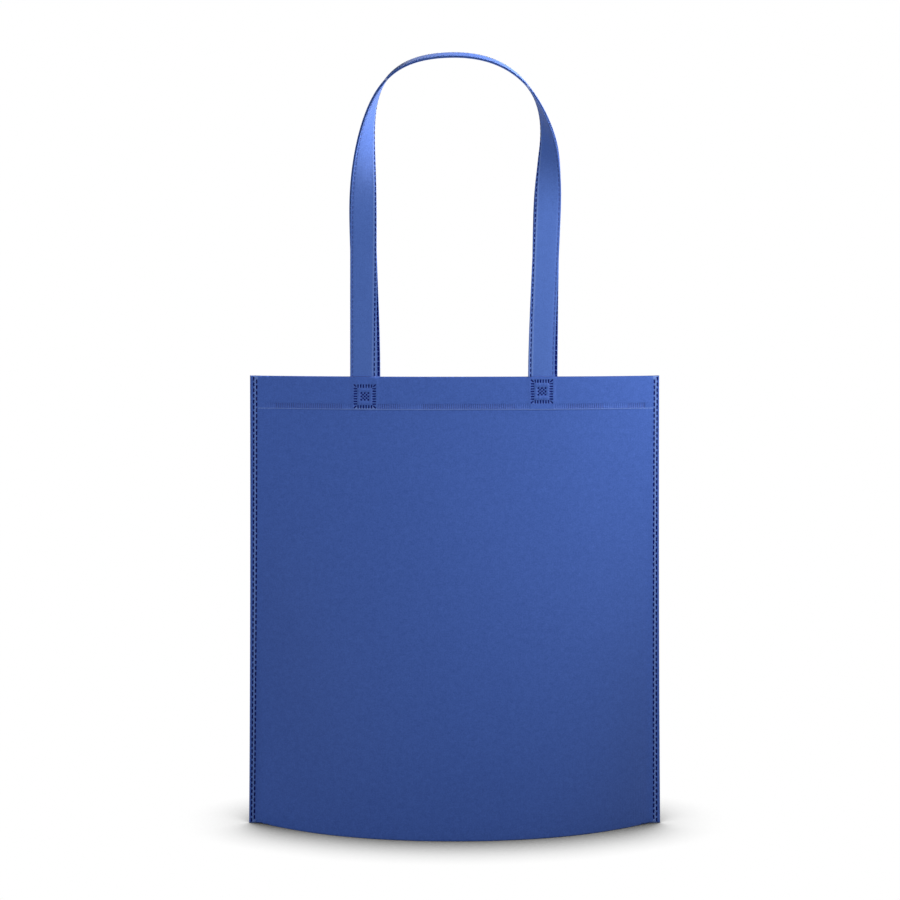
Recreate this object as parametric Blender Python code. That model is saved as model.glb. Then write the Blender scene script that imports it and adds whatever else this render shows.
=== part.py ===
"""Non-woven carrier bag that stands on its opened bottom gusset, with two long handles.

The bag is one folded sheet: front, gusset and back, a hem folded to the inside and two
welded side seams. Each handle is a folded strip whose ends are welded inside a hem.
Units are metres, +Z is up, the front faces -Y and the origin is the middle of the base.
"""

import math

import bmesh
import bpy
from mathutils import Vector

# Cloth and fit
ply = 0.0008
press_depth = 0.0002
clearance = 0.0003

# Bag
bag_width = 0.350
bag_height = 0.4036
base_depth = 0.102
foot_flare = 0.0008
waist_pinch = 0.0008
crease_roundness = 0.28
mouth_gap = 0.0048
rim_round = 0.0005
rim_slope = 0.7

# Gusset
gusset_ease = 0.0025
fold_start = 0.006

# Hem
hem_depth = 0.031
hem_weld_drop = 0.0268
hem_weld_height = 0.0048

# Side seams
seam_width = 0.0085
seam_row_inset = 0.0028
seam_row_pitch = 0.0025
seam_row_width = 0.0009
seam_edge_round = 0.0004

# Handles
strap_width = 0.0227
strap_thickness = 0.0009
strap_edge_share = 0.8
strap_row_inset = 0.0020
strap_row_width = 0.0008
strap_tuck = 0.0300
handle_rise = 0.2895
left_leg_x = -0.0780
right_leg_x = 0.0742
left_shoulder_out = 0.0
left_shoulder_rise = 0.1454
right_shoulder_out = 0.0067
right_shoulder_rise = 0.2024
left_shoulder_pull = 0.0919
right_shoulder_pull = 0.0337
left_crown_pull = 0.0760
right_crown_pull = 0.0644
leg_pull = 0.050
crown_twist = math.radians(78.5)
left_twist_start = 0.060
right_twist_start = 0.078
left_twist_length = 0.155
right_twist_length = 0.123
pairing_rise = 0.015
left_shift_foot = 0.0024
right_shift_foot = 0.0017
back_shift_top = -0.0011
back_shift_rise = 0.170

# Square welds that hold the handles
weld_width = 0.0198
weld_height = 0.0218
weld_border = 0.0034
left_weld_drop = 0.0186
right_weld_drop = 0.0139

# Mesh density
half_columns = 18
column_spread = 0.25
floor_steps = 8
wall_rows = 13
leg_steps = 12
crown_steps = 20
side_blend_height = 0.15


def clear_scene():
    for obj in list(bpy.data.objects):
        bpy.data.objects.remove(obj, do_unlink=True)


def cloth_material(name, color, roughness):
    material = bpy.data.materials.new(name)
    material.use_nodes = True
    shader = material.node_tree.nodes["Principled BSDF"]
    shader.inputs["Base Color"].default_value = color
    shader.inputs["Roughness"].default_value = roughness
    shader.inputs["Metallic"].default_value = 0.0
    return material


def add_object(name, mesh, collection, material=None):
    obj = bpy.data.objects.new(name, mesh)
    collection.objects.link(obj)
    if material:
        mesh.materials.append(material)
    return obj


def ease(t):
    """0 to 1 with a level start and end."""
    t = min(max(t, 0.0), 1.0)
    return t * t * (3 - 2 * t)


def add_face(bm, corners):
    """A face from corners, of which neighbours may be the same vertex."""
    ring = [v for i, v in enumerate(corners) if v is not corners[i - 1]]
    if len(ring) > 2:
        bm.faces.new(ring)


def finish_mesh(bm, name):
    bmesh.ops.recalc_face_normals(bm, faces=bm.faces[:])
    mesh = bpy.data.meshes.new(name)
    bm.to_mesh(mesh)
    bm.free()
    mesh.shade_smooth()
    mesh.set_sharp_from_angle(angle=math.radians(30))
    return mesh


# The form of the two panels
def half_width(z):
    """Half the bag's width at height z, over the seams."""
    t = z / bag_height
    return bag_width / 2 + foot_flare * (1 - t) - 4 * waist_pinch * t * (1 - t)


def crease_shape(u):
    """How far a panel stands out: 1 in the middle, 0 at the seams."""
    return 1 - (1 - crease_roundness) * u**2 - crease_roundness * u**4


def bow(z):
    """Depth of one panel's inner face in the middle: upright at the mouth and at the foot."""
    mouth = mouth_gap / 2 + ply
    foot = base_depth / 2 - ply
    t = min(max(z / bag_height, 0.0), 1.0)
    return mouth + (foot - mouth) * (1 + math.cos(math.pi * t)) / 2


def rim_inset(z):
    """What the rounded top fold takes off."""
    return rim_slope * max(0.0, z - (bag_height - rim_round))


def hem_inset(z):
    """What the hem's weld line takes off."""
    off = abs(z - (bag_height - hem_weld_drop))
    return press_depth * min(max((hem_weld_height / 2 - off) / clearance, 0.0), 1.0)


def outer_depth(u, z):
    return ply + bow(z) * crease_shape(u) - hem_inset(z) * crease_shape(u) - rim_inset(z)


def inner_depth(u, z):
    """Depth of the inner face: one ply in the panel, two in the hem."""
    second = ply if z > bag_height - hem_depth else 0.0
    return (bow(z) - second + rim_inset(z)) * crease_shape(u)


# Columns of the two skins: each gives x and half depth at height z
def panel_x(u, z):
    return u * (half_width(z) - seam_width)


def outer_column(u):
    return lambda z: (panel_x(u, z), outer_depth(u, z))


def inner_column(u):
    return lambda z: (panel_x(u, z), inner_depth(u, z))


def seam_column(side, inset, depth):
    return lambda z: (side * (half_width(z) - inset), depth)


def panel_stations():
    """Places across a panel, closer together towards the seams."""
    steps = [i / half_columns for i in range(-half_columns, half_columns + 1)]
    return [t * (1 + column_spread * (1 - t * t)) for t in steps]


def seam_profile():
    """Inset and half thickness across a seam, from its cut edge inwards."""
    profile = [(0.0, 0.0), (seam_edge_round, ply)]
    for row in range(2):
        middle = seam_row_inset + row * seam_row_pitch
        profile.append((middle - seam_row_width / 2, ply))
        profile.append((middle, ply - press_depth))
        profile.append((middle + seam_row_width / 2, ply))
    return profile


# The gusset
def fold_height(u):
    """Each half of the gusset keeps its width, so its fold rises where the creases near."""
    reach = base_depth / 2 - gusset_ease
    half = base_depth / 2 * crease_shape(u)
    if half >= reach:
        return 0.0
    return math.sqrt(reach**2 - half**2) * ease((reach - half) / fold_start)


def gusset_lift(u):
    """Height of the cloth's upper face over its lower one, on the gusset's slope."""
    slope = fold_height(u) / outer_depth(u, 0.0)
    return ply * math.sqrt(1 + slope**2)


def floor_edge(u):
    """Where the inner face of a panel meets the gusset."""
    if abs(u) == 1:
        return base_depth / 2 + 2 * ply
    return fold_height(u) * ply / outer_depth(u, 0.0) + gusset_lift(u)


def floor_ridge(u):
    return fold_height(u) + gusset_lift(u)


# Levels of the two skins
def even_levels(low, high, count):
    return [low + (high - low) * i / count for i in range(count)]


def outer_levels():
    weld = bag_height - hem_weld_drop
    edge = hem_weld_height / 2
    levels = even_levels(0.0, weld - edge, wall_rows)
    levels += [weld - edge, weld - edge + clearance]
    levels += [weld + edge - clearance, weld + edge]
    return levels + [bag_height - rim_round, bag_height]


def inner_levels(u):
    hem_edge = bag_height - hem_depth
    levels = even_levels(0.0, hem_edge, wall_rows)
    levels += [hem_edge, hem_edge + clearance]
    levels += [bag_height - rim_round, bag_height]
    low = floor_edge(u)
    return [
        low + z * (1 - low / side_blend_height) if z < side_blend_height else z
        for z in levels
    ]


def add_skin(bm, columns, levels, ridges):
    """A lens-shaped cup: front wall, back wall and ridged floor. Returns its top edges."""
    front, back = [], []
    for column, heights in zip(columns, levels):
        ends = [column(z) + (z,) for z in heights]
        front.append([bm.verts.new((x, -depth, z)) for x, depth, z in ends])
        back.append(
            [
                bm.verts.new((x, depth, z)) if depth > 0 else vert
                for (x, depth, z), vert in zip(ends, front[-1])
            ]
        )
    floors = []
    for near, far, ridge in zip(front, back, ridges):
        row = [near[0]]
        for j in range(1, floor_steps):
            s = 2 * j / floor_steps - 1
            z = near[0].co.z + (ridge - near[0].co.z) * (1 - abs(s))
            point = (near[0].co.x, s * far[0].co.y, z)
            row.append(near[0] if near[0] is far[0] else bm.verts.new(point))
        floors.append(row + [far[0]])
    for grid in (front, back, floors):
        for left, right in zip(grid, grid[1:]):
            for k in range(len(left) - 1):
                add_face(bm, [left[k], right[k], right[k + 1], left[k + 1]])
    return [wall[-1] for wall in front], [wall[-1] for wall in back]


def bag_mesh():
    bm = bmesh.new()
    stations = panel_stations()
    seam = seam_profile()
    outer = [seam_column(-1, *point) for point in seam]
    outer += [outer_column(u) for u in stations]
    outer += [seam_column(1, *point) for point in reversed(seam)]
    pockets = [0.0 if abs(u) == 1 else fold_height(u) for u in stations]
    pockets = [0.0] * len(seam) + pockets + [0.0] * len(seam)
    front, back = add_skin(bm, outer, [outer_levels()] * len(outer), pockets)
    inner_front, inner_back = add_skin(
        bm,
        [inner_column(u) for u in stations],
        [inner_levels(u) for u in stations],
        [floor_ridge(u) if abs(u) < 1 else floor_edge(u) for u in stations],
    )

    # The top fold joins the skins
    first = len(seam)
    last = first + len(stations) - 1
    for outside, inside in ((front, inner_front), (back, inner_back)):
        for i in range(len(stations) - 1):
            near = outside[first + i : first + i + 2]
            add_face(bm, [near[0], near[1], inside[i + 1], inside[i]])
    for i in list(range(first)) + list(range(last, len(outer) - 1)):
        corners = [front[i], front[i + 1], back[i + 1], back[i]]
        if i == first - 1:
            corners.insert(2, inner_front[0])
        if i == last:
            corners.append(inner_front[-1])
        add_face(bm, corners)
    return finish_mesh(bm, "bag_body")


# The handles
def bezier(a, b, c, d, steps):
    """Points of a cubic curve, without its last one."""
    found = []
    for i in range(steps):
        t = i / steps
        found.append(
            a * (1 - t) ** 3 + b * 3 * t * (1 - t) ** 2 + c * 3 * t * t * (1 - t) + d * t**3
        )
    return found


def half_route(leg_x, shoulder_out, shoulder_rise, shoulder_pull, crown_pull):
    """The route of one leg in the plane of the handle, from its end in the hem to the crown."""
    hem = Vector((leg_x, 0, bag_height))
    foot = hem - Vector((0, 0, strap_tuck))
    outward = math.copysign(1, leg_x)
    bend = hem + Vector((outward * shoulder_out, 0, shoulder_rise))
    crown = Vector((0, 0, bag_height + handle_rise))
    up = Vector((0, 0, 1))
    inward = Vector((-outward, 0, 0))
    points = [foot, foot + (hem - foot) * 0.5]
    points += bezier(hem, hem + up * leg_pull, bend - up * leg_pull, bend, leg_steps)
    points += bezier(
        bend, bend + up * shoulder_pull, crown - inward * crown_pull, crown, crown_steps
    )
    return points, crown


def handle_route():
    left, crown = half_route(
        left_leg_x,
        left_shoulder_out,
        left_shoulder_rise,
        left_shoulder_pull,
        left_crown_pull,
    )
    right, _ = half_route(
        right_leg_x,
        right_shoulder_out,
        right_shoulder_rise,
        right_shoulder_pull,
        right_crown_pull,
    )
    return left + [crown] + right[::-1], len(left)


def strap_profile():
    """Half of the strap's section: one face, with its two pressed weld rows."""
    half = strap_width / 2
    row = half - strap_row_inset
    thick = strap_thickness / 2
    face = [(half - thick / 2, thick * strap_edge_share)]
    for middle in (row, -row):
        face.append((middle + strap_row_width / 2, thick))
        face.append((middle, thick - press_depth))
        face.append((middle - strap_row_width / 2, thick))
    face.append((-half + thick / 2, thick * strap_edge_share))
    return face


def hem_level(z):
    """The same level, kept inside the hem."""
    return min(max(z, bag_height - hem_depth + clearance), bag_height - rim_round)


def hem_offset(x, z):
    """Distance of a strap's middle from the bag's middle plane where it lies on the hem."""
    level = hem_level(z)
    u = x / (half_width(level) - seam_width)
    return inner_depth(u, level) - clearance - strap_thickness / 2


def hem_facing(x, z, side):
    """The way a strap faces where it lies flat on the hem's inner side."""
    step = 2 * clearance
    level = min(hem_level(z), bag_height - rim_round - step)
    run = hem_offset(x + step, level) - hem_offset(x, level)
    rise = hem_offset(x, level + step) - hem_offset(x, level)
    return Vector((-side * run / step, -1, -side * rise / step)).normalized()


def strap_centres(side):
    """Middle line and face direction of one handle: side is 1 for the front, -1 for the back."""
    route, crown_index = handle_route()
    lengths = [0.0]
    for a, b in zip(route, route[1:]):
        lengths.append(lengths[-1] + (b - a).length)
    paired = (strap_thickness + clearance) / 2
    left = (left_twist_start, left_twist_length, left_shift_foot)
    right = (right_twist_start, right_twist_length, right_shift_foot)
    centres, faces = [], []
    for i, point in enumerate(route):
        ahead = route[min(i + 1, len(route) - 1)] - route[max(i - 1, 0)]
        along = ahead.normalized()
        inward = Vector((along.z, 0, -along.x))
        reach = abs(lengths[i] - lengths[crown_index])
        start, length, shift_foot = left if i < crown_index else right
        turned = ease((reach - start) / length)
        twist = crown_twist * (1 - turned)
        face = Vector((0, -math.cos(twist), 0)) + inward * math.sin(twist)
        across = along.cross(face)
        above = point.z - bag_height
        shift = 0.0
        if side < 0:
            risen = ease(above / back_shift_rise)
            shift = shift_foot + (back_shift_top - shift_foot) * risen
            shift *= 1 - math.sin(twist)
        loose = ease(above / pairing_rise)
        seat = hem_offset(point.x + shift, point.z)
        offset = seat * (1 - loose) + paired * loose
        centres.append(point + face * (side * offset) + across * (across.x * shift))
        faces.append(face.lerp(hem_facing(point.x + shift, point.z, side), 1 - loose))
    return centres, faces


def strap_mesh(name, side):
    """The strap's section swept along its middle line, turning with the twist.

    Both faces are split along the same diagonals, so that two paired straps nest.
    """
    centres, faces = strap_centres(side)
    profile = strap_profile()
    edge = strap_width / 2
    section = [(edge, 0.0)] + profile + [(-edge, 0.0)]
    section += [(across, -thick) for across, thick in reversed(profile)]
    bm = bmesh.new()
    rings = []
    for i, centre in enumerate(centres):
        ahead = centres[min(i + 1, len(centres) - 1)] - centres[max(i - 1, 0)]
        along = ahead.normalized()
        normal = (faces[i] - along * faces[i].dot(along)).normalized()
        across = along.cross(normal)
        rings.append([bm.verts.new(centre + across * a + normal * n) for a, n in section])
    for ring, following in zip(rings, rings[1:]):
        for k in range(len(section)):
            corners = [ring[k - 1], ring[k], following[k], following[k - 1]]
            turn = 0 if 0 < k < len(profile) + 2 else 1
            a, b, c, d = corners[turn:] + corners[:turn]
            bm.faces.new([a, b, c])
            bm.faces.new([a, c, d])
    bm.faces.new(rings[0])
    bm.faces.new(rings[-1])
    return finish_mesh(bm, name)


# The square welds
def weld_frame_mesh(name):
    """A square ring that stands through the cloth's face by the depth of the press."""
    bm = bmesh.new()
    bmesh.ops.create_grid(bm, x_segments=1, y_segments=1, size=0.5)
    bmesh.ops.scale(bm, vec=(weld_width, weld_height, 1), verts=bm.verts[:])
    middle = bm.faces[:]
    bmesh.ops.inset_region(
        bm, faces=middle, thickness=weld_border, use_boundary=True, use_even_offset=True
    )
    bmesh.ops.delete(bm, geom=middle, context="FACES")
    bmesh.ops.translate(bm, vec=(0, 0, -press_depth), verts=bm.verts[:])
    grown = bmesh.ops.extrude_face_region(bm, geom=bm.faces[:])
    top = [v for v in grown["geom"] if isinstance(v, bmesh.types.BMVert)]
    bmesh.ops.translate(bm, vec=(0, 0, press_depth + 2 * ply), verts=top)
    return finish_mesh(bm, name)


def place_weld(name, x, drop, side, collection):
    """side is 1 for the front panel and -1 for the back one."""
    z = bag_height - drop
    span = half_width(z) - seam_width
    step = clearance
    rise = outer_depth(x / span, z + step) - outer_depth(x / span, z - step)
    run = outer_depth((x + step) / span, z) - outer_depth((x - step) / span, z)
    outward = Vector((-run / (2 * step), -1, -rise / (2 * step))).normalized()
    place = Vector((x, -outer_depth(x / span, z), z))
    outward.y *= side
    place.y *= side
    cutter = add_object(name, weld_frame_mesh(name), collection)
    cutter.rotation_mode = "QUATERNION"
    cutter.rotation_quaternion = outward.to_track_quat("Z", "Y")
    cutter.location = place
    cutter.hide_render = True
    cutter.display_type = "WIRE"


def main():
    clear_scene()
    bag = bpy.data.collections.new("non_woven_bag")
    cutters = bpy.data.collections.new("cutters")
    bpy.context.scene.collection.children.link(bag)
    bpy.context.scene.collection.children.link(cutters)

    panel_cloth = cloth_material("bag_cloth", (0.064, 0.127, 0.434, 1), 0.72)
    front_cloth = cloth_material("front_handle_cloth", (0.074, 0.143, 0.468, 1), 0.66)
    back_cloth = cloth_material("back_handle_cloth", (0.056, 0.112, 0.393, 1), 0.66)

    body = add_object("bag_body", bag_mesh(), bag, panel_cloth)
    add_object("front_handle", strap_mesh("front_handle", 1), bag, front_cloth)
    add_object("back_handle", strap_mesh("back_handle", -1), bag, back_cloth)

    for side, face in ((1, "front"), (-1, "back")):
        place_weld(f"{face}_left_weld", left_leg_x, left_weld_drop, side, cutters)
        place_weld(f"{face}_right_weld", right_leg_x, right_weld_drop, side, cutters)
    welds = body.modifiers.new("handle welds", "BOOLEAN")
    welds.operation = "DIFFERENCE"
    welds.solver = "EXACT"
    welds.operand_type = "COLLECTION"
    welds.collection = cutters


main()
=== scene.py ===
"""Non-woven carrier bag: how it looks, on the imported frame."""

import math
from bisect import bisect

import bmesh
import bpy
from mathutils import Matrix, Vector, noise
from mathutils.geometry import delaunay_2d_cdt


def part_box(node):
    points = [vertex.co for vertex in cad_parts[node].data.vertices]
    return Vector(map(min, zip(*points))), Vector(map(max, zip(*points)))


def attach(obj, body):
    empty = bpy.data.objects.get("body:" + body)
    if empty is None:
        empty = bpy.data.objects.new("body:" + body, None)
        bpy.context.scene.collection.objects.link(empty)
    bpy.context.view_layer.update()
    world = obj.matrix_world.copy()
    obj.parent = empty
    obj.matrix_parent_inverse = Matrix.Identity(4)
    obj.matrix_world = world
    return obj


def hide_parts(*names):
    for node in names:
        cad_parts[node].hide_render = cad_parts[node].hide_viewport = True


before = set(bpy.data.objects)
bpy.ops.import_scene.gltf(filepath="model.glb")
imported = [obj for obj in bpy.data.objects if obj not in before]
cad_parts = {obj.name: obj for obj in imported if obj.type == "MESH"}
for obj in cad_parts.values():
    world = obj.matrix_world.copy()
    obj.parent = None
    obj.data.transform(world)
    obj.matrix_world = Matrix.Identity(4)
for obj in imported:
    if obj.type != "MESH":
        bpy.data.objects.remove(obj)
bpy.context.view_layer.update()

# Bag body
# One sheet of spunbond polypropylene, folded into front panel, bottom gusset and back
# panel. The hem is folded to the inside. A patterned roller welds the hem and both side
# seams by ultrasound, which leaves rows of pressed dashes.
_, body_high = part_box("bag_body")
height = body_high.z
foot_half_width = body_high.x
foot_depth = body_high.y
mm = 0.001
flat_half = 175 * mm
foot_flare = foot_half_width - flat_half
waist_pinch = 0.5 * mm
flange_half = 0.8 * mm
cloth = 0.5 * mm
crease_roundness = 0.28
crease_softness = 0.015
mouth_half = 1.7 * mm
foot_round = 0.9 * mm
rim_round = 0.7 * mm
rim_turn = 0.55 * mm
rim_drop = {-1: 0.45 * mm, 1: 2.6 * mm}
rim_sag_reach = 120 * mm
merge_reach = 2e-6

seam_width = 7.6 * mm
seam_edge_round = 0.45 * mm
seam_pitch = 5.2 * mm
seam_row_gap = 2.5 * mm
left_row_inset = (2.1 * mm, 3.1 * mm)
right_row_inset = (3.0 * mm, 1.7 * mm)
seam_ridge = 0.28 * mm
seam_dash = (1.3 * mm, 3.5 * mm)
seam_sink = 0.45 * mm

hem_depth = 30.2 * mm
hem_ply_edge = 1.0 * mm
hem_step = 0.35 * mm
tick_pitch = 1.85 * mm
tick_size = (0.75 * mm, 4.4 * mm)
tick_drop = 26.5 * mm
tick_sink = 0.22 * mm
hem_bead_drop = 29.0 * mm

weld_x = (-76.9 * mm, 74.6 * mm)
strap_end_half = 11.3 * mm
weld_drop = (17.5 * mm, 13.1 * mm)
weld_half = (9.6 * mm, 10.9 * mm)
weld_pitch = 2.3 * mm
weld_tick = (1.15 * mm, 3.2 * mm)
weld_sink = 0.42 * mm
dot_pitch = 3.0 * mm
dot_size = 1.6 * mm
cloth_slot, melted_slot, pressed_slot, painted_highlight_slot = range(4)

fold_reach = foot_depth - 2.5 * mm
fold_start = 6 * mm
lift_limit = 3 * mm
lift_fade = 150 * mm


def ease(t):
    t = min(max(t, 0.0), 1.0)
    return t * t * (3 - 2 * t)


def half_width(z):
    t = z / height
    return foot_half_width - foot_flare * t - 4 * waist_pinch * t * (1 - t)


def crease_shape(u):
    """How a panel bows from its middle, 1, to its seams, 0, which it leaves softly."""
    shape = 1 - (1 - crease_roundness) * u**2 - crease_roundness * u**4
    full = math.hypot(1, crease_softness) - crease_softness
    return (math.hypot(shape, crease_softness) - crease_softness) / full


def bow(z):
    """How far a panel stands out in its middle: upright at the mouth and at the foot."""
    foot = foot_depth - flange_half
    t = min(max(z / height, 0.0), 1.0)
    return mouth_half + (foot - mouth_half) * (1 + math.cos(math.pi * t)) / 2


def panel_share(s):
    """Where a point lies between the middle line, 0, and the inner edge of the seam, 1."""
    return min(abs(s) / (flat_half - seam_width), 1.0)


def panel_x(s, z):
    """Place across the bag of a point that lies s from the middle of the flat sheet."""
    inner = flat_half - seam_width
    if abs(s) <= inner:
        return s / inner * (half_width(z) - seam_width)
    return math.copysign(half_width(z) - (flat_half - abs(s)), s)


def sway(s, z, seed):
    """The soft waves of limp cloth, which die out at the seams, the foot and the rim."""
    hold = 1 - panel_share(s) ** 4
    hold *= ease(z / (60 * mm)) * (0.25 + 0.75 * ease((height - z) / (90 * mm)))
    broad = noise.noise(Vector((s * 9, z * 6, seed)))
    fine = noise.noise(Vector((s * 26, z * 15, seed + 7)))
    return hold * (1.6 * mm * broad + 0.35 * mm * fine)


def row_inset(side, z):
    """Distance of the outer row of dashes from the cut edge: the rows run slightly askew."""
    foot, top = left_row_inset if side < 0 else right_row_inset
    return foot + (top - foot) * z / height


def pucker(s, z):
    """The cloth is drawn in at each dash of the seam, so it ripples beside the seam."""
    off = flat_half - row_inset(s, z) - seam_row_gap - abs(s)
    if off < 0:
        return 0.0
    wave = math.cos(2 * math.pi * z / seam_pitch)
    slow = 0.6 + 0.4 * noise.noise(Vector((s * 30, z * 25, 3)))
    return 0.14 * mm * wave * slow * math.exp(-off / (5 * mm)) * ease(off / (1.5 * mm))


def hem_relief(s, z):
    """The second ply of the hem and the strap ends inside it push the panel out a little."""
    below = height - hem_depth
    edge = hem_step * ease((z - below) / hem_ply_edge)
    bead = hem_step * math.exp(-(((z - height + hem_bead_drop) / (0.8 * mm)) ** 2))
    strap = 0.0
    for x in weld_x:
        beside = abs(s - x) - strap_end_half
        strap = max(strap, hem_step * (1 - ease((beside + 0.8 * mm) / (1.6 * mm))))
    return (edge + bead) * (1 - panel_share(s) ** 8) - hem_step + strap * ease(
        (z - below) / hem_ply_edge
    )


def skin_depth(s, z, seed):
    """Distance of the outer face from the bag's middle plane."""
    inset = flat_half - abs(s)
    depth = flange_half + bow(z) * crease_shape(panel_share(s))
    if inset < seam_edge_round:
        depth *= math.sqrt(max(0.0, 1 - (1 - inset / seam_edge_round) ** 2))
    over = max(0.0, z - (height - rim_round)) / rim_round
    under = max(0.0, foot_round - z) / foot_round
    turn = 1 - math.sqrt(max(0.0, 1 - max(over, under) ** 2))
    depth -= rim_turn * turn * (1 if inset > 1 * mm else 0)
    if panel_share(s) < 1:
        depth += hem_relief(s, z) * ease((1 - panel_share(s)) * 12)
        depth += sway(s, z, seed)
    return depth + pucker(s, z)


def add_pit(points, tags, centre, size, angle, sink, slot, wall=0.12 * mm):
    """One pressed dash: eight points round its brim and eight round its floor."""
    tag = len(tags)
    tags.append(slot)
    turn_x, turn_y = math.cos(angle), math.sin(angle)
    for inset, depth, mark in ((0.0, 0.0, 0), (wall, sink, tag)):
        w, l = size[0] / 2 - inset, size[1] / 2 - inset
        c = 0.55 * min(w, l)
        ring = [(w, l - c), (w - c, l), (c - w, l), (-w, l - c)]
        ring += [(-w, c - l), (c - w, -l), (w - c, -l), (w, c - l)]
        for a, b in ring:
            x = centre[0] + a * turn_x - b * turn_y
            z = centre[1] + a * turn_y + b * turn_x
            points.append((x, z, depth, mark))


def triangulate(points, line=()):
    """Delaunay triangles over flat points given as (across, up, sink, tag).

    Tags above 1 are pits: the brim and the floor of each one stay closed rings of edges.
    The line is a row of points that stays one edge after another.
    """
    flat = [Vector((p[0] / mm, p[1] / mm)) for p in points]
    edges = [(a, b) for a, b in zip(line, line[1:]) if (flat[b] - flat[a]).length < 3]
    last = 1
    for i, point in enumerate(points):
        if point[3] > last:
            last = point[3]
            for start in (i - 8, i):
                edges += [(start + k, start + (k + 1) % 8) for k in range(8)]
    _, _, faces, origins, _, _ = delaunay_2d_cdt(flat, edges, [], 0, 1e-4)
    return [points[o[0]] for o in origins], faces


def seam_levels():
    count = 4 * round(height / seam_pitch)
    return [height * i / count for i in range(count + 1)]


def stations():
    """Points along the rim and the foot, which neighbouring faces share."""
    inner = flat_half - seam_width
    count = 68
    return [-inner + 2 * inner * i / count for i in range(count + 1)]


def edge_insets():
    return [0.0, 0.12 * seam_edge_round, 0.45 * seam_edge_round, seam_edge_round]


def seam_columns(side, z):
    """(inset, rise) of the lines of points beside and between a seam's rows of dashes."""
    row = row_inset(side, z)
    ridge = row + seam_row_gap / 2
    return [(row - 0.95 * mm, 0.0), (ridge, seam_ridge), (row + seam_row_gap + 1.1 * mm, 0.0)]


def weld_boxes():
    """(x, z, half width, half height) of each square weld on the front."""
    return [(x, height - drop, *weld_half) for x, drop in zip(weld_x, weld_drop)]


def near_weld(s, z, margin):
    return any(
        abs(s - x) < w + margin and abs(z - c) < h + margin for x, c, w, h in weld_boxes()
    )


def weld_points(points, tags, x, z, w, h):
    """A frame of short ticks round a diamond lattice of dots."""
    for side, reach, along in ((0, w, h), (1, h, w)):
        count = int((2 * along - weld_tick[1] - 1 * mm) / weld_pitch)
        for sign in (-1, 1):
            for i in range(count):
                run = (i - (count - 1) / 2) * weld_pitch
                off = sign * (reach - weld_tick[1] / 2)
                place = (x + off, z + run) if side == 0 else (x + run, z + off)
                turn = math.pi / 2 * (1 - side)
                add_pit(points, tags, place, weld_tick, turn, weld_sink, melted_slot)
    for a, b in ((1, 1), (1, -1), (-1, 1), (-1, -1)):
        place = (x + a * (w - 1.3 * mm), z + b * (h - 1.3 * mm))
        turn = -a * b * math.pi / 4
        add_pit(points, tags, place, weld_tick, turn, weld_sink, melted_slot)
    for i in range(-2, 3):
        for j in range(-2, 3):
            if abs(i) + abs(j) <= 2:
                place = (x + (i - j) * dot_pitch / 2, z + (i + j) * dot_pitch / 2)
                dot = (dot_size, dot_size)
                add_pit(points, tags, place, dot, 0.0, weld_sink * 0.8, melted_slot)


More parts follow.
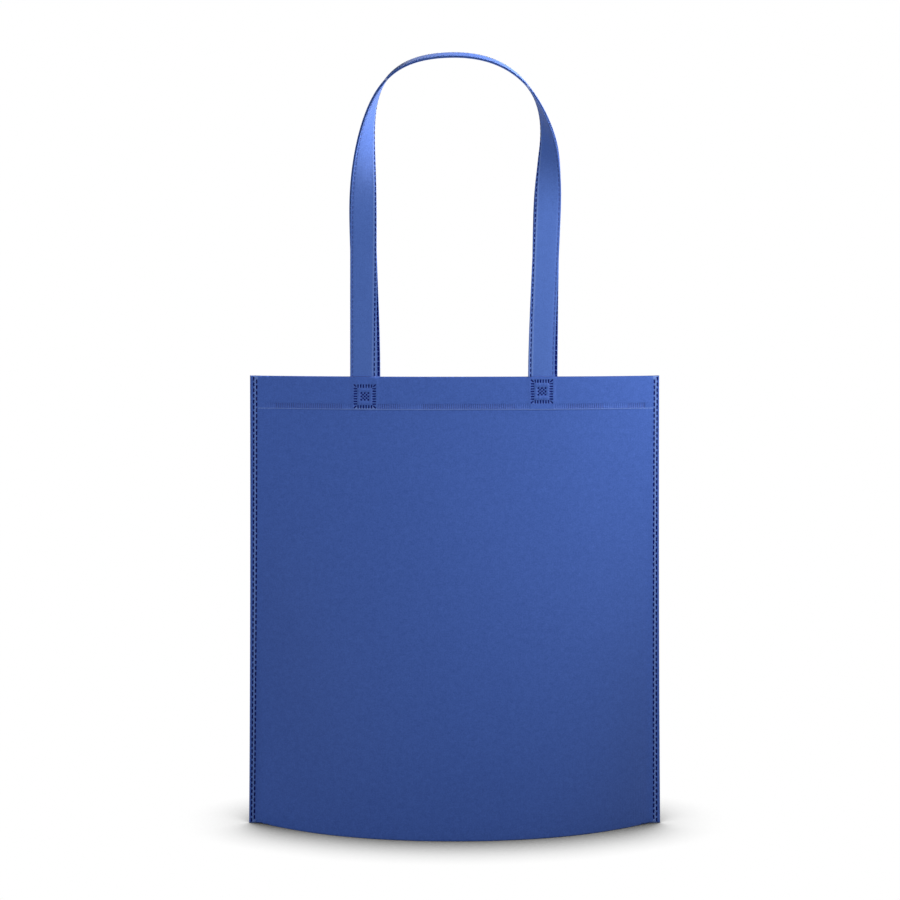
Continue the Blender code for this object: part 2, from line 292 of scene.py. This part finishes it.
def panel_points():
    """Flat points of a panel: open cloth, side seams, hem weld and square welds."""
    points, tags, line = [], [cloth_slot, painted_highlight_slot], []
    levels = seam_levels()
    inner = flat_half - seam_width
    tick_z = height - tick_drop
    for side in (-1, 1):
        for z in levels:
            for inset in edge_insets():
                points.append((side * (flat_half - inset), z, 0.0, 0))
            for inset, rise in seam_columns(side, z):
                # A ridge point takes the paler cloth: painted highlight along the ridge between
                # the rows
                points.append((side * (flat_half - inset), z, -rise, 1 if rise else 0))
            for inset in (10.0, 12.5, 15.5):
                if 0 < z < height and (inset < 11 or abs(z - tick_z) > 3 * mm):
                    points.append((side * (flat_half - inset * mm), z, 0.0, 0))
        pitch = height / round(height / seam_pitch)
        for row in (0, 1):
            for i in range(round(height / seam_pitch)):
                z = (i + 0.5 + 0.5 * row) * pitch
                inset = row_inset(side, z) + row * seam_row_gap
                if z < height - seam_dash[1] * 0.6:
                    place = (side * (flat_half - inset), z)
                    add_pit(points, tags, place, seam_dash, 0.0, seam_sink, melted_slot)
    for s in stations():
        for off in (0.0, 0.15, 0.45, 1.0, 2.2):
            points.append((s, off * foot_round, 0.0, 0))
        for off in (1.0, 0.7, 0.4, 0.15, 0.0):
            points.append((s, height - off * rim_round, 0.0, 0))
    count = int(2 * (inner - 5.5 * mm) / tick_pitch)
    for i in range(-2, count + 3):
        s = (i - count / 2) * tick_pitch
        # The row at the bead's middle takes the paler cloth: painted highlight along the hem's
        # bead
        for under in (1.8, 1.3, 0.8, 0.3, 0.0, -0.3):
            z = height - hem_bead_drop - under * mm
            if near_weld(s, z, 0.5 * mm):
                continue
            if under == 0:
                line.append(len(points))
            points.append((s, z, 0.0, 0 if under else 1))
        if near_weld(s, tick_z + 2.5 * mm, 0.8 * mm) or near_weld(s, tick_z, 0.8 * mm):
            continue
        if 0 <= i <= count:
            patch = noise.noise(Vector((s * 40, 0, 5)))
            slot = pressed_slot if patch > -0.12 else cloth_slot
            add_pit(
                points, tags, (s, tick_z), tick_size, 0.0, tick_sink * (0.75 + 0.4 * patch), slot
            )
            points.append((s, tick_z + 3 * mm, 0.0, 0))
    for x, z, w, h in weld_boxes():
        weld_points(points, tags, x, z, w, h)
        grow = 0.8 * mm
        for i in range(12):
            t = -1 + 2 * i / 12
            for a, b in ((t, -1), (1, t), (-t, 1), (-1, -t)):
                points.append((x + a * (w + grow), z + b * (h + grow), 0.0, 0))
    step = 4.6 * mm
    rows = int((height - 6 * mm) / (step * 0.87))
    for j in range(rows + 1):
        z = 4 * mm + j * (height - 8 * mm) / rows
        for i in range(-40, 41):
            s = (i + 0.5 * (j % 2)) * step
            if abs(s) > flat_half - 18 * mm or near_weld(s, z, 2 * mm):
                continue
            if -5.2 * mm < z - tick_z < 4.2 * mm:
                continue
            points.append((s, z, 0.0, 0))
    for x in weld_x:
        for off in (-12.3, -11.3, -10.3, 10.3, 11.3, 12.3):
            for j in range(14):
                z = height - 2 * mm - j * 2.0 * mm
                if not near_weld(x + off * mm, z, 0.4 * mm) and abs(z - tick_z) > 3.6 * mm:
                    points.append((x + off * mm, z, 0.0, 0))
    return points, tags, line


def fold_height(u):
    """Each half of the gusset keeps its width, so its fold rises where the creases near."""
    half = foot_depth * crease_shape(u)
    if half >= fold_reach:
        return 0.0
    return math.sqrt(fold_reach**2 - half**2) * ease((fold_reach - half) / fold_start)


def inner_depth(s, z):
    second = cloth if z > height - hem_depth else 0.0
    room = bow(z) + flange_half - cloth * 1.2 - second
    return max(room, 0.0) * crease_shape(panel_share(s))


def gusset_inside(s):
    """Lowest level of the inner face of a panel, and the level of the gusset's ridge."""
    u = panel_share(s)
    outside = skin_depth(s, 0.0, 0)
    rise = fold_height(u)
    lift = min(cloth * math.sqrt(1 + (rise / outside) ** 2), lift_limit)
    return rise * max(0.0, 1 - inner_depth(s, 0.0) / outside) + lift, rise + lift


def sag(side, s, z):
    """Both rims sag between the seams, the back one a little more."""
    share = crease_shape(panel_share(s))
    return rim_drop[side] * share * ease((z - height + rim_sag_reach) / rim_sag_reach)


def add_panel(bm, side, seed):
    """Outer face of one panel: side is -1 for the front, 1 for the back."""
    points, slots, line = panel_points()
    data, faces = triangulate(points, line)
    verts = []
    for s, z, sink, _ in data:
        depth = skin_depth(s, z, seed) - sink
        if flat_half - abs(s) < 1e-7:
            depth = 0.0
        verts.append(bm.verts.new((panel_x(s, z), side * depth, z - sag(side, s, z))))
    for a, b, c in faces:
        face = bm.faces.new((verts[a], verts[b], verts[c]))
        face.smooth = True
        face.material_index = slots[max(data[a][3], data[b][3], data[c][3])]


def add_grid(bm, rows):
    """Quads between rows of places."""
    made = [[bm.verts.new(p) for p in row] for row in rows]
    for low, high in zip(made, made[1:]):
        for k in range(len(low) - 1):
            face = bm.faces.new((low[k], low[k + 1], high[k + 1], high[k]))
            face.smooth = True


def add_inside(bm, side, seed):
    """Inner face of one panel, with the step where the hem's second ply ends."""
    count = 60
    levels = [height * i / count for i in range(count)]
    hem_edge = height - hem_depth
    levels = [z for z in levels if abs(z - hem_edge) > 2 * mm]
    levels += [hem_edge, hem_edge + 0.3 * mm, height]
    rows = []
    for z in sorted(levels):
        row = []
        for s in stations():
            low, _ = gusset_inside(s)
            level = low + z * (1 - low / lift_fade) if z < lift_fade else z
            depth = inner_depth(s, level)
            depth += 0.8 * sway(s, level, seed) if abs(z) > 0 else 0.0
            depth = max(depth, 0.0) if panel_share(s) < 1 else 0.0
            row.append((panel_x(s, level), side * depth, level - sag(side, s, level)))
        rows.append(row)
    add_grid(bm, rows)
    return rows[-1]


def add_gusset(bm, inside):
    """The floor with its centre fold, from below or from inside the bag."""
    turns = [-1, -0.85, -0.68, -0.5, -0.32, -0.16, -0.06, -0.02]
    turns += [0.0] + [-t for t in reversed(turns)]
    rows = []
    for t in turns:
        row = []
        for s in stations():
            low, ridge = gusset_inside(s)
            if inside:
                half = inner_depth(s, low) if panel_share(s) < 1 else 0.0
            else:
                half = skin_depth(s, 0.0, 0)
                low, ridge = 0.0, fold_height(panel_share(s))
            z = low + (ridge - low) * (1 - math.sqrt(t * t + 0.0004))
            z = low if abs(t) == 1 else z
            x = panel_x(s, low if inside else 0.0)
            row.append((x, t * half, z))
        rows.append(row)
    add_grid(bm, rows)
    return [[row[0] for row in rows], [row[-1] for row in rows]]


def close_body(bm, rims, ends):
    """Closes the top fold between the skins and the seams' upper and lower ends."""
    for side, rim in rims:
        outer = []
        for s in stations():
            depth = skin_depth(s, height, 11 if side < 0 else 23)
            outer.append((panel_x(s, height), side * depth, height - sag(side, s, height)))
        add_grid(bm, [outer, rim])
    inner = flat_half - seam_width
    for z, end in ((height, None), (0.0, ends)):
        for k, sign in enumerate((-1, 1)):
            ring = []
            edge = [(inset, 0.0) for inset in edge_insets()] + seam_columns(sign, z)
            for y_sign, order in ((-1, edge[::-1]), (1, edge[1:])):
                for inset, rise in order:
                    s = sign * (flat_half - inset)
                    depth = skin_depth(s, z, 0) + rise if inset else 0.0
                    ring.append((panel_x(s, z), y_sign * depth, z))
            s = sign * inner
            corner = skin_depth(s, z, 0)
            ring.append((panel_x(s, z), corner, z))
            if end is None:
                ring.append((panel_x(s, z), 0.0, z))
            ring.append((panel_x(s, z), -corner, z))
            bm.faces.new([bm.verts.new(p) for p in ring])
            if end is not None:
                bm.faces.new([bm.verts.new(p) for p in end[k]])


def body_mesh():
    bm = bmesh.new()
    rims = []
    for side, seed in ((-1, 11), (1, 23)):
        add_panel(bm, side, seed)
        rims.append((side, add_inside(bm, side, seed)))
    ends = add_gusset(bm, False)
    add_gusset(bm, True)
    close_body(bm, rims, ends)
    bmesh.ops.remove_doubles(bm, verts=bm.verts, dist=merge_reach)
    bmesh.ops.recalc_face_normals(bm, faces=bm.faces)
    mesh = bpy.data.meshes.new("bag_body")
    bm.to_mesh(mesh)
    bm.free()
    return mesh


def linear(code):
    """Linear colour from an sRGB hex code."""
    parts = [int(code[i : i + 2], 16) / 255 for i in (1, 3, 5)]
    return [c / 12.92 if c <= 0.04045 else ((c + 0.055) / 1.055) ** 2.4 for c in parts] + [1]


def add_node(tree, kind, settings=None, **inputs):
    """One shader node: settings are its properties, inputs its values or links."""
    node = tree.nodes.new(kind)
    for name, value in (settings or {}).items():
        setattr(node, name, value)
    for name, value in inputs.items():
        socket = node.inputs[name.replace("_", " ")]
        if isinstance(value, bpy.types.NodeSocket):
            tree.links.new(value, socket)
        else:
            socket.default_value = value
    return node


def cloth_material(name, light, dark, grain_height):
    """Spunbond polypropylene: a dull, slightly fibrous face with a fine bonded grain."""
    material = bpy.data.materials.new(name)
    material.use_nodes = True
    tree = material.node_tree
    shader = tree.nodes["Principled BSDF"]
    place = add_node(tree, "ShaderNodeTexCoord").outputs["Object"]
    # Cloudy fibre density, in patches of about 4 mm, and tufts of fibres about 1 mm wide
    clouds = add_node(tree, "ShaderNodeTexNoise", Vector=place, Scale=240.0, Detail=3.0)
    fibres = add_node(tree, "ShaderNodeTexNoise", Vector=place, Scale=900.0, Detail=3.0)
    both = add_node(
        tree,
        "ShaderNodeMix",
        {"data_type": "FLOAT"},
        Factor=0.72,
        A=clouds.outputs["Fac"],
        B=fibres.outputs["Fac"],
    )
    tone = add_node(
        tree,
        "ShaderNodeMapRange",
        Value=both.outputs["Result"],
        From_Min=0.3,
        From_Max=0.7,
    )
    color = add_node(tree, "ShaderNodeMix", {"data_type": "RGBA"})
    tree.links.new(tone.outputs["Result"], color.inputs["Factor"])
    color.inputs[6].default_value = linear(dark)
    color.inputs[7].default_value = linear(light)
    tree.links.new(color.outputs[2], shader.inputs["Base Color"])
    # Such cloth is usually bonded at points about 0.7 mm apart. That is too fine to show,
    # so they are drawn 1.4 mm apart
    bonds = add_node(
        tree, "ShaderNodeTexVoronoi", Vector=place, Scale=720.0, Randomness=0.35
    )
    grain = add_node(
        tree,
        "ShaderNodeBump",
        Strength=0.8,
        Distance=grain_height,
        Height=bonds.outputs["Distance"],
    )
    tree.links.new(grain.outputs["Normal"], shader.inputs["Normal"])
    shader.inputs["Roughness"].default_value = 0.62
    shader.inputs["Specular IOR Level"].default_value = 0.4
    shader.inputs["Sheen Weight"].default_value = 0.14
    shader.inputs["Sheen Roughness"].default_value = 0.5
    return material


body_cloth = cloth_material("spunbond_polypropylene", "#456AC5", "#3458AF", 0.09 * mm)
# Melted polypropylene: where the horn pressed, the fibres fused to a darker, smoother film
melted_film = bpy.data.materials.new("melted_polypropylene")
melted_film.use_nodes = True
film = melted_film.node_tree.nodes["Principled BSDF"]
film.inputs["Base Color"].default_value = linear("#05156A")
film.inputs["Roughness"].default_value = 0.5
film.inputs["Specular IOR Level"].default_value = 0.1
# Lightly pressed polypropylene of the hem's ticks, which stays fibrous
pressed_cloth = cloth_material("pressed_polypropylene", "#3854A8", "#324C9C", 0.03 * mm)
# Paler cloth on the raised ridges between rows of dashes and on the hem's bead line: a
# painted highlight, for the light that these ridges catch
painted_highlight_cloth = cloth_material("painted_highlight_polypropylene", "#6584CF", "#5C7BC6", 0.03 * mm)

bag = bpy.data.objects.new("bag_cloth_body", body_mesh())
bpy.context.scene.collection.objects.link(bag)
for material in (body_cloth, melted_film, pressed_cloth, painted_highlight_cloth):
    bag.data.materials.append(material)
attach(bag, "root")
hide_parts("bag_body")

# Front handle
# A strip of the same cloth, folded flat and welded in a row near each edge. It is cut
# to length, and both ends are welded into the front hem by a square weld. Above the
# shoulders it turns its face inwards, and its mate on the back hem lies flat on it.
strap_width = 22.7 * mm
strap_half = 0.45 * mm
strap_gap = 0.3 * mm
strap_round = 0.45 * mm
strap_tuck = 30 * mm
hem_clear = 0.15 * mm
strap_pitch = 4.5 * mm
outer_rows = (
    (1, 2.1 * mm, 0.28 * mm, melted_slot),
    (-1, 1.8 * mm, 0.12 * mm, pressed_slot),
)
outer_dash = (1.0 * mm, 3.1 * mm)
# Wide rows of the inward face, nearly a continuous dark band: weld rows, and painted shade on
# the back strap where it shows beside the front one
inner_welds_and_shade = (
    (1, 1.5 * mm, 0.20 * mm, melted_slot),
    (-1, 1.5 * mm, 0.20 * mm, melted_slot),
)
inner_dash_and_shade = (1.9 * mm, 4.1 * mm)
handle_rise = 289.5 * mm
leg_pull = 50 * mm
left_leg = {
    "x": -78.0 * mm,
    "out": 0.0,
    "bend": 145.4 * mm,
    "pull": (91.9 * mm, 76.0 * mm),
    "turn": (60 * mm, 155 * mm),
    "back": 3.1 * mm,
}
right_leg = {
    "x": 74.2 * mm,
    "out": 6.7 * mm,
    "bend": 202.4 * mm,
    "pull": (33.7 * mm, 64.4 * mm),
    "turn": (78 * mm, 123 * mm),
    "back": 2.5 * mm,
}
crown_twist = math.radians(78.5)
back_shift_top = -1.1 * mm
back_shift_rise = 170 * mm
pairing_rise = 15 * mm
row_nearing = 1.0 * mm
row_nearing_rise = 140 * mm


def bezier(a, b, c, d, steps):
    """Points of a cubic curve, without its last one."""
    found = []
    for i in range(steps):
        t = i / steps
        near, far = 1 - t, t
        found.append(a * near**3 + b * 3 * near**2 * far + c * 3 * near * far**2 + d * far**3)
    return found


def leg_route(leg):
    """One leg in the plane of the handle, from its end in the hem up to the crown."""
    outward = math.copysign(1, leg["x"])
    hem = Vector((leg["x"], 0, height))
    up, inward = Vector((0, 0, 1)), Vector((-outward, 0, 0))
    bend = hem + Vector((outward * leg["out"], 0, leg["bend"]))
    crown = Vector((0, 0, height + handle_rise))
    foot = hem - up * strap_tuck
    points = [foot + (hem - foot) * i / 12 for i in range(12)]
    points += bezier(hem, hem + up * leg_pull, bend - up * leg_pull, bend, 60)
    pull, crown_pull = leg["pull"]
    points += bezier(bend, bend + up * pull, crown - inward * crown_pull, crown, 100)
    return points


def strap_frames(side):
    """Middle line of a handle with its face and sideways directions; side 1 is the front."""
    left, right = leg_route(left_leg), leg_route(right_leg)
    route = left + [Vector((0, 0, height + handle_rise))] + right[::-1]
    lengths = [0.0]
    for a, b in zip(route, route[1:]):
        lengths.append(lengths[-1] + (b - a).length)
    places, faces = [], []
    for i, point in enumerate(route):
        ahead = route[min(i + 1, len(route) - 1)] - route[max(i - 1, 0)]
        along = ahead.normalized()
        inward = Vector((along.z, 0, -along.x))
        reach = abs(lengths[i] - lengths[len(left)])
        leg = left_leg if i < len(left) else right_leg
        start, length = leg["turn"]
        turned = ease((reach - start) / length)
        twist = crown_twist * (1 - turned)
        face = Vector((0, -math.cos(twist), 0)) + inward * math.sin(twist)
        above = point.z - height
        across = along.cross(face)
        shift = 0.0
        if side < 0:
            risen = ease(above / back_shift_rise)
            shift = leg["back"] + (back_shift_top - leg["back"]) * risen
            shift *= 1 - math.sin(twist)
        share = panel_share(point.x + shift)
        seat = (bow(point.z) - 2 * hem_clear) * crease_shape(share) - strap_half
        loose = ease(above / pairing_rise)
        off = seat * (1 - loose) + (strap_half + strap_gap / 2) * loose
        places.append(point + face * (side * off) + across * (across.x * shift))
        slope = (bow(height) - bow(height - strap_tuck)) / strap_tuck
        tilted = Vector((0, -1, -side * slope * crease_shape(share))).normalized()
        faces.append(face.lerp(tilted, 1 - loose))
    return places, faces, lengths


def row_shift(run, length):
    """How much nearer to the edge the stronger row runs, above the shoulders."""
    rise = min(run, length - run) - strap_tuck
    return row_nearing * ease(rise / row_nearing_rise)


def strap_points(length, outward):
    """Flat points of one face of a strap, and the material slot of each tag.

    On the inward face the rows are melted so wide that they run into dark bands near the
    edges: weld rows, and painted shade where the back strap shows behind the front one.
    """
    points, tags = [], [cloth_slot, painted_highlight_slot]
    rows, dash = (outer_rows, outer_dash) if outward else (inner_welds_and_shade, inner_dash_and_shade)
    half = strap_width / 2
    count = round(length / (strap_pitch / 3))
    for i in range(count + 1):
        run = length * i / count
        for side in (-1, 1):
            for inset in (0.0, 0.12 * strap_round, 0.45 * strap_round, strap_round):
                points.append((side * (half - inset), run, 0.0, 0))
        near = row_shift(run, length)
        # Paler points near the edge and on the ridge beside the strong row: painted highlight
        if outward and near < 0.3 * mm:
            points.append((half - 0.85 * mm, run, -0.08 * mm, 1))
        if outward:
            for inset, rise in ((3.1, 0.0), (3.6, 0.12), (4.2, 0.0)):
                points.append((half + near - inset * mm, run, -rise * mm, 1 if rise else 0))
        for across in (-7.6, -4.6, -1.6, 1.4, 4.4, 6.4):
            points.append((across * mm, run, 0.0, 0))
    for side, inset, sink, slot in rows:
        for i in range(int(length / strap_pitch)):
            run = (i + 0.75 + 0.25 * side) * strap_pitch
            near = row_shift(run, length) if outward and side > 0 else 0.0
            place = (side * (half - inset + near), run)
            if run < length - dash[1]:
                add_pit(points, tags, place, dash, 0.0, sink, slot)
    return points, tags


def strap_mesh(name, side):
    """Both faces of the strap, swept along its middle line and turning with the twist."""
    places, turned, lengths = strap_frames(side)
    half = strap_width / 2
    bm = bmesh.new()
    for facing in (1, -1):
        points, slots = strap_points(lengths[-1], facing == side)
        data, triangles = triangulate(points)
        verts = []
        for across, run, sink, _ in data:
            i = min(bisect(lengths, run), len(lengths) - 1)
            share = (run - lengths[i - 1]) / (lengths[i] - lengths[i - 1])
            along = (places[i] - places[i - 1]).normalized()
            face = turned[i - 1].lerp(turned[i], share)
            face = (face - along * face.dot(along)).normalized()
            inset = half - abs(across)
            thick = strap_half
            if inset < strap_round:
                thick *= math.sqrt(max(0.0, 1 - (1 - inset / strap_round) ** 2))
            wave = 0.25 * mm * noise.noise(Vector((across * 60, run * 28, 40 + side)))
            thick += wave * ease(inset / half) if facing == side else 0.0
            place = places[i - 1].lerp(places[i], share) + along.cross(face) * across
            verts.append(bm.verts.new(place + face * facing * (thick - sink)))
        for corners in triangles:
            made = bm.faces.new([verts[c] for c in corners])
            made.smooth = True
            made.material_index = slots[max(data[c][3] for c in corners)]
    bmesh.ops.remove_doubles(bm, verts=bm.verts, dist=merge_reach)
    bmesh.ops.holes_fill(bm, edges=[e for e in bm.edges if e.is_boundary], sides=0)
    bmesh.ops.recalc_face_normals(bm, faces=bm.faces)
    mesh = bpy.data.meshes.new(name)
    bm.to_mesh(mesh)
    bm.free()
    return mesh


# The folded strip is pressed flat, so it has less fuzz than the open cloth. Its colours are
# lighter than the body cloth's: painted light, for the brighter light on the handles.
handle_cloth = cloth_material("folded_spunbond_strip", "#5377CC", "#4567BA", 0.07 * mm)
handle_shader = handle_cloth.node_tree.nodes["Principled BSDF"]
handle_shader.inputs["Sheen Weight"].default_value = 0.08
handle_shader.inputs["Specular IOR Level"].default_value = 0.3


def add_strap(name, side, node):
    strap = bpy.data.objects.new(name, strap_mesh(name, side))
    bpy.context.scene.collection.objects.link(strap)
    for material in (handle_cloth, melted_film, pressed_cloth, painted_highlight_cloth):
        strap.data.materials.append(material)
    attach(strap, "root")
    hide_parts(node)


add_strap("front_strap", 1, "front_handle")

# Back handle
# The same folded strip of cloth, welded into the back hem. It stands against the front
# one and shows beside it, where the wide dark rows of its inward face are painted shade.
add_strap("back_strap", -1, "back_handle")


# Floor and backdrop
# A plain sheet of white paper that runs on past the frame. It is there only to hold the
# contact shadow.
floor_mesh = bpy.data.meshes.new("studio_floor")
floor_bm = bmesh.new()
bmesh.ops.create_grid(floor_bm, x_segments=1, y_segments=1, size=6)
floor_bm.to_mesh(floor_mesh)
floor_bm.free()
floor = bpy.data.objects.new("studio_floor", floor_mesh)
bpy.context.scene.collection.objects.link(floor)
floor_paper = bpy.data.materials.new("white_floor_paper")
floor_paper.use_nodes = True
floor_tree = floor_paper.node_tree
floor_shader = floor_tree.nodes["Principled BSDF"]
floor_shader.inputs["Base Color"].default_value = linear("#949494")
floor_shader.inputs["Roughness"].default_value = 1.0
floor_shader.inputs["Specular IOR Level"].default_value = 0.0
# What is seen is white paper, which darkens within 66 mm of the bag, as under broad light.
# This shade comes from how near the bag is, and no lamp casts it
nearness = add_node(
    floor_tree, "ShaderNodeAmbientOcclusion", {"samples": 8}, Distance=66 * mm
)
open_share = add_node(
    floor_tree, "ShaderNodeMapRange", Value=nearness.outputs["AO"], From_Min=0.46, From_Max=0.97
)
glow = add_node(floor_tree, "ShaderNodeMath", {"operation": "POWER"})
floor_tree.links.new(open_share.outputs["Result"], glow.inputs[0])
glow.inputs[1].default_value = 0.92
seen_paper = add_node(floor_tree, "ShaderNodeEmission", Strength=glow.outputs["Value"])
ray = add_node(floor_tree, "ShaderNodeLightPath")
direct = add_node(floor_tree, "ShaderNodeMath", {"operation": "MAXIMUM"})
floor_tree.links.new(ray.outputs["Is Camera Ray"], direct.inputs[0])
floor_tree.links.new(ray.outputs["Is Glossy Ray"], direct.inputs[1])
mirrored = add_node(floor_tree, "ShaderNodeMath", {"operation": "MAXIMUM"})
floor_tree.links.new(direct.outputs["Value"], mirrored.inputs[0])
floor_tree.links.new(ray.outputs["Is Transmission Ray"], mirrored.inputs[1])
paper = add_node(floor_tree, "ShaderNodeMixShader", Fac=mirrored.outputs["Value"])
floor_tree.links.new(floor_shader.outputs["BSDF"], paper.inputs[1])
floor_tree.links.new(seen_paper.outputs["Emission"], paper.inputs[2])
sheet_end = floor_tree.nodes["Material Output"]
floor_tree.links.new(paper.outputs["Shader"], sheet_end.inputs["Surface"])
floor.data.materials.append(floor_paper)

# Light
# Soft lamps: a near one on the right, a wide fill on the left, one overhead, two narrow
# ones that reach only the handles, and one behind for the bag's back. The near one is a
# little warmer than the fill.
world = bpy.data.worlds.new("studio_surround")
bpy.context.scene.world = world
world.use_nodes = True
surround = world.node_tree.nodes["Background"]
surround.inputs["Color"].default_value = (1, 1, 1, 1)
surround.inputs["Strength"].default_value = 0.076


def add_lamp(name, place, aim, size, watts, spread=180, tint="#FFFFFF"):
    lamp = bpy.data.lights.new(name, "AREA")
    lamp.color = linear(tint)[:3]
    lamp.shape = "SQUARE"
    lamp.size = size
    lamp.energy = watts
    lamp.spread = math.radians(spread)
    holder = bpy.data.objects.new(name, lamp)
    holder.location = place
    holder.rotation_euler = (Vector(aim) - Vector(place)).to_track_quat("-Z", "Y").to_euler()
    bpy.context.scene.collection.objects.link(holder)


add_lamp("near_lamp", (0.42, -0.25, 0.53), (0.05, 0, 0.42), 0.2, 2.12, tint="#FFF7EB")
add_lamp("fill_lamp", (-1.2, -1.2, 0.70), (0, 0, 0.30), 1.0, 10.0, tint="#F6FDFF")
add_lamp("overhead_lamp", (0, -0.45, 1.20), (0, 0, 0.35), 0.3, 0.9)
add_lamp("side_lamp", (0.55, -0.10, 0.66), (-0.07, 0, 0.58), 0.15, 0.03, 40)
add_lamp("crown_lamp", (0.70, 0.25, 1.10), (0, 0, 0.68), 0.2, 0.95, 40)
add_lamp("back_lamp", (1.1, 1.3, 0.80), (0, 0, 0.30), 1.0, 9.0)

# Camera
# A view without perspective, as through a very long lens, from about 19 degrees above
# the bag's foot and square to the front panel.
tilt = math.radians(18.7)
aim = Vector((-3.95 * mm, 0, 336.4 * mm))
frame_width = 0.7698
camera_distance = 3
camera_data = bpy.data.cameras.new("camera")
camera_data.type = "ORTHO"
camera_data.ortho_scale = frame_width
camera = bpy.data.objects.new("camera", camera_data)
camera.location = aim + camera_distance * Vector((0, -math.cos(tilt), math.sin(tilt)))
camera.rotation_euler = (math.pi / 2 - tilt, 0, 0)
bpy.context.scene.collection.objects.link(camera)
bpy.context.scene.camera = camera
bpy.context.scene.view_settings.view_transform = "Standard"
